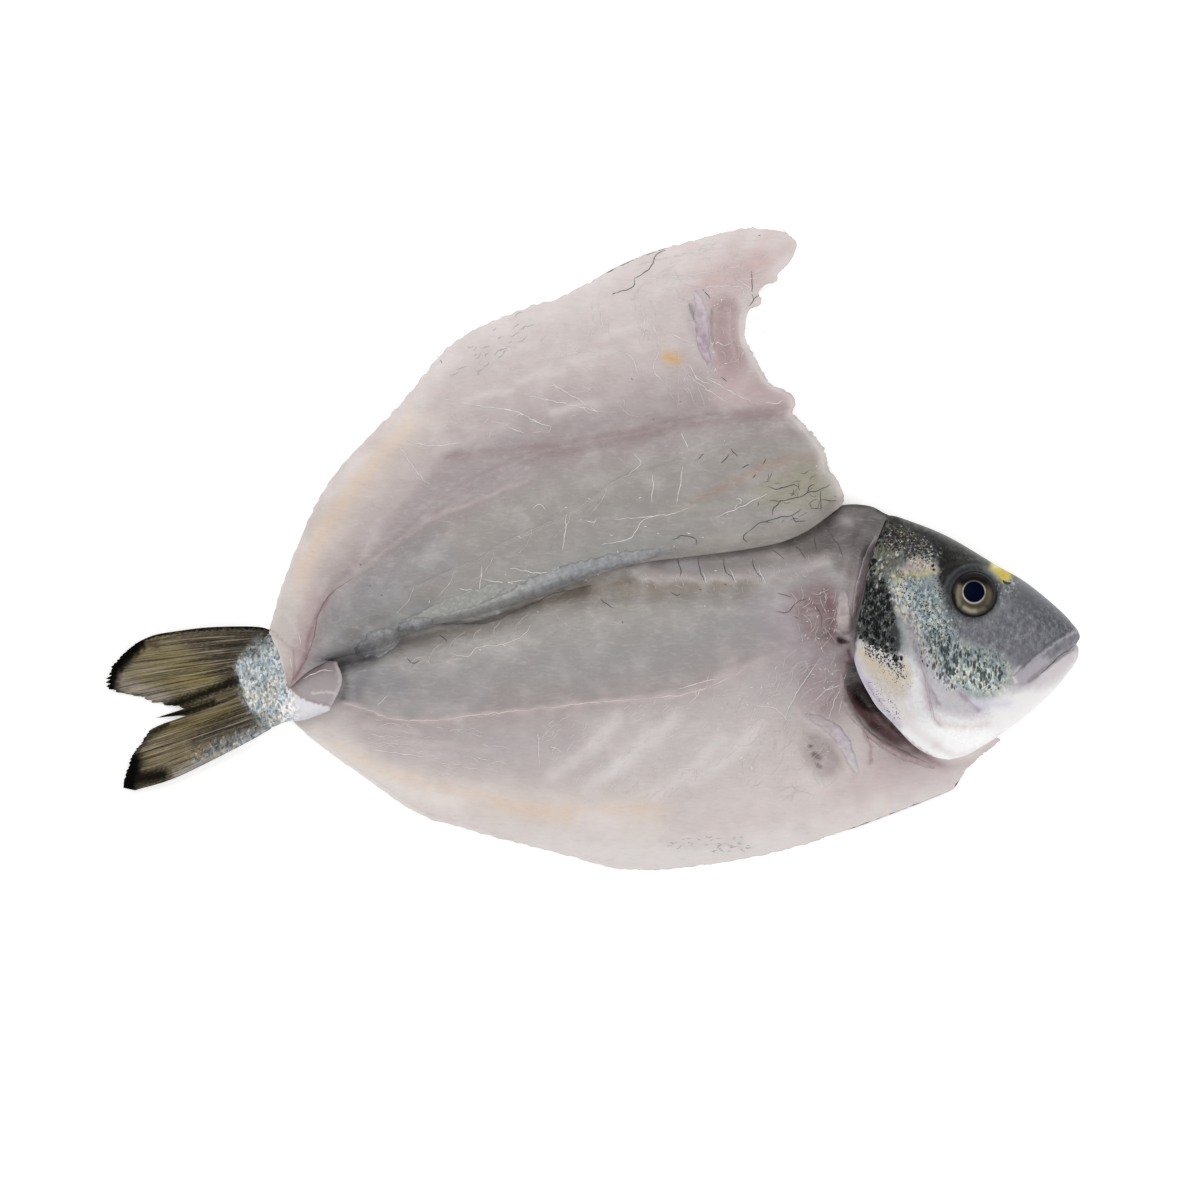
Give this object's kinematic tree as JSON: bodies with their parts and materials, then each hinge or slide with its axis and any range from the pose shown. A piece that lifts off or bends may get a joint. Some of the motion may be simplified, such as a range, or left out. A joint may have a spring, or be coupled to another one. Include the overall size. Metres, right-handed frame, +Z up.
{
  "type": "butterflied sea bream",
  "caption": "Raw butterflied sea bream: two boned fillets folded open about the back, skin down, with the head left on one fillet and the tail left whole.",
  "frame": {"origin": "centre of the bounding box, on the surface that the fish lies on", "axes": "+X from the tail to the snout, +Y from the fillet with the head to the one cut free, +Z up out of the cut faces"},
  "size_m": [0.3007, 0.1983, 0.0421],
  "materials": {
    "flesh": "moist raw flesh over silver-grey skin",
    "eye": "wet and glossy, dark pupil in a grey-brown ring"
  },
  "bodies": {
    "root": {"fish": "flesh", "eye_upper": "eye", "eye_under": "eye"}
  },
  "joints": []
}
